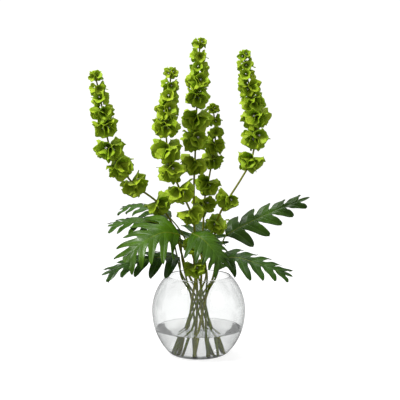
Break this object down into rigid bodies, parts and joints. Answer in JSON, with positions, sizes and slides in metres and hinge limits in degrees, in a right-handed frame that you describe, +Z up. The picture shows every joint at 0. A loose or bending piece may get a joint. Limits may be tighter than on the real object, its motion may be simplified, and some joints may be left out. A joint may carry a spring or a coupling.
{
  "type": "bells of ireland in vase",
  "caption": "Cut stems of bells of Ireland and split philodendron leaves spreading from a round clear glass bowl vase that is partly filled with water.",
  "frame": {"origin": "centre of the vase's flat base, on the surface it stands on", "axes": "+Z up along the vase's axis, -Y towards the front of the arrangement, +X to its right as seen from the front"},
  "size_m": [0.4761, 0.3067, 0.6897],
  "materials": {
    "glass": "clear, polished, colourless",
    "water": "clear still water",
    "stalk": "smooth satin olive green plant stem",
    "bells": "thin papery yellow-green calyx with raised veins",
    "leaf": "glossy dark green leaf with paler veins"
  },
  "bodies": {
    "root": {"bowl": "glass", "water": "water", "left_stalk": "stalk", "left_centre_stalk": "stalk", "tall_stalk": "stalk", "back_stalk": "stalk", "right_stalk": "stalk", "front_left_leaf": "leaf", "front_right_leaf": "leaf", "middle_left_leaf": "leaf", "back_left_leaf": "leaf", "low_left_leaf": "leaf", "upper_right_leaf": "leaf", "low_right_leaf": "leaf", "back_leaf": "leaf", "left_bells_1": "bells", "left_bells_2": "bells", "left_bells_3": "bells", "left_bells_4": "bells", "left_bells_5": "bells", "left_bells_6": "bells", "left_bells_7": "bells", "left_bells_8": "bells", "left_bells_9": "bells", "left_centre_bells_1": "bells", "left_centre_bells_2": "bells", "left_centre_bells_3": "bells", "left_centre_bells_4": "bells", "left_centre_bells_5": "bells", "left_centre_bells_6": "bells", "left_centre_bells_7": "bells", "left_centre_bells_8": "bells", "left_centre_bells_9": "bells", "left_centre_bells_10": "bells", "left_centre_bells_11": "bells", "tall_bells_1": "bells", "tall_bells_2": "bells", "tall_bells_3": "bells", "tall_bells_4": "bells", "tall_bells_5": "bells", "tall_bells_6": "bells", "tall_bells_7": "bells", "tall_bells_8": "bells", "back_bells_1": "bells", "back_bells_2": "bells", "back_bells_3": "bells", "back_bells_4": "bells", "back_bells_5": "bells", "back_bells_6": "bells", "back_bells_7": "bells", "right_bells_1": "bells", "right_bells_2": "bells", "right_bells_3": "bells", "right_bells_4": "bells", "right_bells_5": "bells", "right_bells_6": "bells", "right_bells_7": "bells", "right_bells_8": "bells", "right_bells_9": "bells", "right_bells_10": "bells"}
  },
  "joints": []
}
